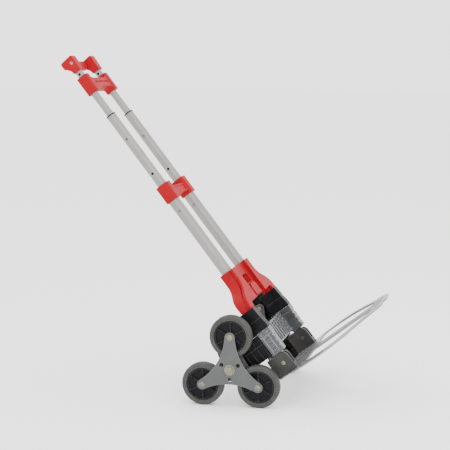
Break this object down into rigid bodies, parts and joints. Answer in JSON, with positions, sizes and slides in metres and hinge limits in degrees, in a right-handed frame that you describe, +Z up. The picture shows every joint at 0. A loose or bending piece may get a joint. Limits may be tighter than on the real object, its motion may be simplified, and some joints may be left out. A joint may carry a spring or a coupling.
{
  "type": "stair-climbing hand truck",
  "caption": "Folding hand truck with a telescopic handle, a fold-up toe plate and star wheels on both sides for climbing stairs.",
  "frame": {"origin": "on the floor, under the middle of the truck's box", "axes": "+X forward, the way the toe plate points; +Y across, to the right-hand star; +Z up. The frame leans back 37.7 degrees from upright."},
  "size_m": [0.9782, 0.4858, 1.0074],
  "materials": {
    "red_plastic": "semi-gloss moulded",
    "black_plastic": "fine satin moulded",
    "tube_aluminium": "satin anodised",
    "column_grey": "glossy, ribbed",
    "foot_grey": "satin moulded",
    "plate_aluminium": "pressed, lightly brushed",
    "star_grey": "satin powder coat",
    "tyre_grey": "matt grey rubber",
    "zinc": "zinc plated"
  },
  "bodies": {
    "frame": {"outer_tube_left": "tube_aluminium", "outer_tube_right": "tube_aluminium", "corner_block_left": "black_plastic", "corner_block_right": "black_plastic", "column_left": "column_grey", "column_right": "column_grey", "axle_bracket_left": "black_plastic", "axle_bracket_right": "black_plastic", "axle_nut_left": "zinc", "axle_nut_right": "zinc", "yoke": "red_plastic", "cross_panel": "column_grey", "axle": "zinc", "mid_brace": "red_plastic"},
    "middle_stage": {"middle_tube_left": "tube_aluminium", "middle_tube_right": "tube_aluminium", "tube_collar_left": "black_plastic", "tube_collar_right": "black_plastic", "middle_lock_pin_left": "zinc", "middle_lock_pin_right": "zinc"},
    "inner_stage": {"inner_tube_left": "tube_aluminium", "inner_tube_right": "tube_aluminium", "inner_lock_pin_left": "zinc", "inner_lock_pin_right": "zinc", "handle_cap_left": "red_plastic", "handle_cap_right": "red_plastic", "cap_screw_left": "zinc", "cap_screw_right": "zinc", "handle_grip": "red_plastic"},
    "release_bar": {"release_bar": "red_plastic"},
    "plate_latch": {"plate_latch": "red_plastic"},
    "toe_plate": {"toe_plate": "plate_aluminium", "foot_left": "foot_grey", "foot_right": "foot_grey", "hinge_pin_left": "zinc", "hinge_pin_right": "zinc"},
    "star_left": {"star_outer_plate_left": "star_grey", "star_inner_plate_left": "star_grey", "star_hub_left": "zinc", "wheel_bolt_left_1": "zinc", "wheel_bolt_left_2": "zinc", "wheel_bolt_left_3": "zinc"},
    "star_right": {"star_outer_plate_right": "star_grey", "star_inner_plate_right": "star_grey", "star_hub_right": "zinc", "wheel_bolt_right_1": "zinc", "wheel_bolt_right_2": "zinc", "wheel_bolt_right_3": "zinc"},
    "wheel_left_1": {"wheel_rim_left_1": "black_plastic", "tyre_left_1": "tyre_grey"},
    "wheel_left_2": {"wheel_rim_left_2": "black_plastic", "tyre_left_2": "tyre_grey"},
    "wheel_left_3": {"wheel_rim_left_3": "black_plastic", "tyre_left_3": "tyre_grey"},
    "wheel_right_1": {"wheel_rim_right_1": "black_plastic", "tyre_right_1": "tyre_grey"},
    "wheel_right_2": {"wheel_rim_right_2": "black_plastic", "tyre_right_2": "tyre_grey"},
    "wheel_right_3": {"wheel_rim_right_3": "black_plastic", "tyre_right_3": "tyre_grey"}
  },
  "joints": [
    {"name": "middle_stage_slide", "type": "slide", "parent": "frame", "child": "middle_stage", "axis": [-0.6115, 0, 0.7912], "range_m": [-0.245, 0]},
    {"name": "inner_stage_slide", "type": "slide", "parent": "middle_stage", "child": "inner_stage", "axis": [-0.6115, 0, 0.7912], "range_m": [-0.08, 0]},
    {"name": "release_bar_squeeze", "type": "slide", "parent": "inner_stage", "child": "release_bar", "axis": [-0.6115, 0, 0.7912], "range_m": [0, 0.012], "stiffness_N_per_m": 400, "springref_m": -0.01},
    {"name": "plate_latch_push", "type": "slide", "parent": "frame", "child": "plate_latch", "axis": [-0.7912, 0, -0.6115], "range_m": [0, 0.004], "stiffness_N_per_m": 800, "springref_m": -0.002},
    {"name": "toe_plate_fold", "type": "hinge", "parent": "frame", "child": "toe_plate", "pos_m": [0.20998, 0, 0.12698], "axis": [0, -1, 0], "range_deg": [0, 90]},
    {"name": "star_left_spin", "type": "hinge", "parent": "frame", "child": "star_left", "pos_m": [0.06209, -0.212, 0.11], "axis": [0, 1, 0], "continuous": true},
    {"name": "star_right_spin", "type": "hinge", "parent": "frame", "child": "star_right", "pos_m": [0.06209, 0.212, 0.11], "axis": [0, 1, 0], "continuous": true},
    {"name": "wheel_left_1_spin", "type": "hinge", "parent": "star_left", "child": "wheel_left_1", "pos_m": [0.06209, -0.212, 0.205], "axis": [0, 1, 0], "continuous": true},
    {"name": "wheel_left_2_spin", "type": "hinge", "parent": "star_left", "child": "wheel_left_2", "pos_m": [-0.02018, -0.212, 0.0625], "axis": [0, 1, 0], "continuous": true},
    {"name": "wheel_left_3_spin", "type": "hinge", "parent": "star_left", "child": "wheel_left_3", "pos_m": [0.14436, -0.212, 0.0625], "axis": [0, 1, 0], "continuous": true},
    {"name": "wheel_right_1_spin", "type": "hinge", "parent": "star_right", "child": "wheel_right_1", "pos_m": [0.06209, 0.212, 0.205], "axis": [0, 1, 0], "continuous": true},
    {"name": "wheel_right_2_spin", "type": "hinge", "parent": "star_right", "child": "wheel_right_2", "pos_m": [-0.02018, 0.212, 0.0625], "axis": [0, 1, 0], "continuous": true},
    {"name": "wheel_right_3_spin", "type": "hinge", "parent": "star_right", "child": "wheel_right_3", "pos_m": [0.14436, 0.212, 0.0625], "axis": [0, 1, 0], "continuous": true}
  ]
}
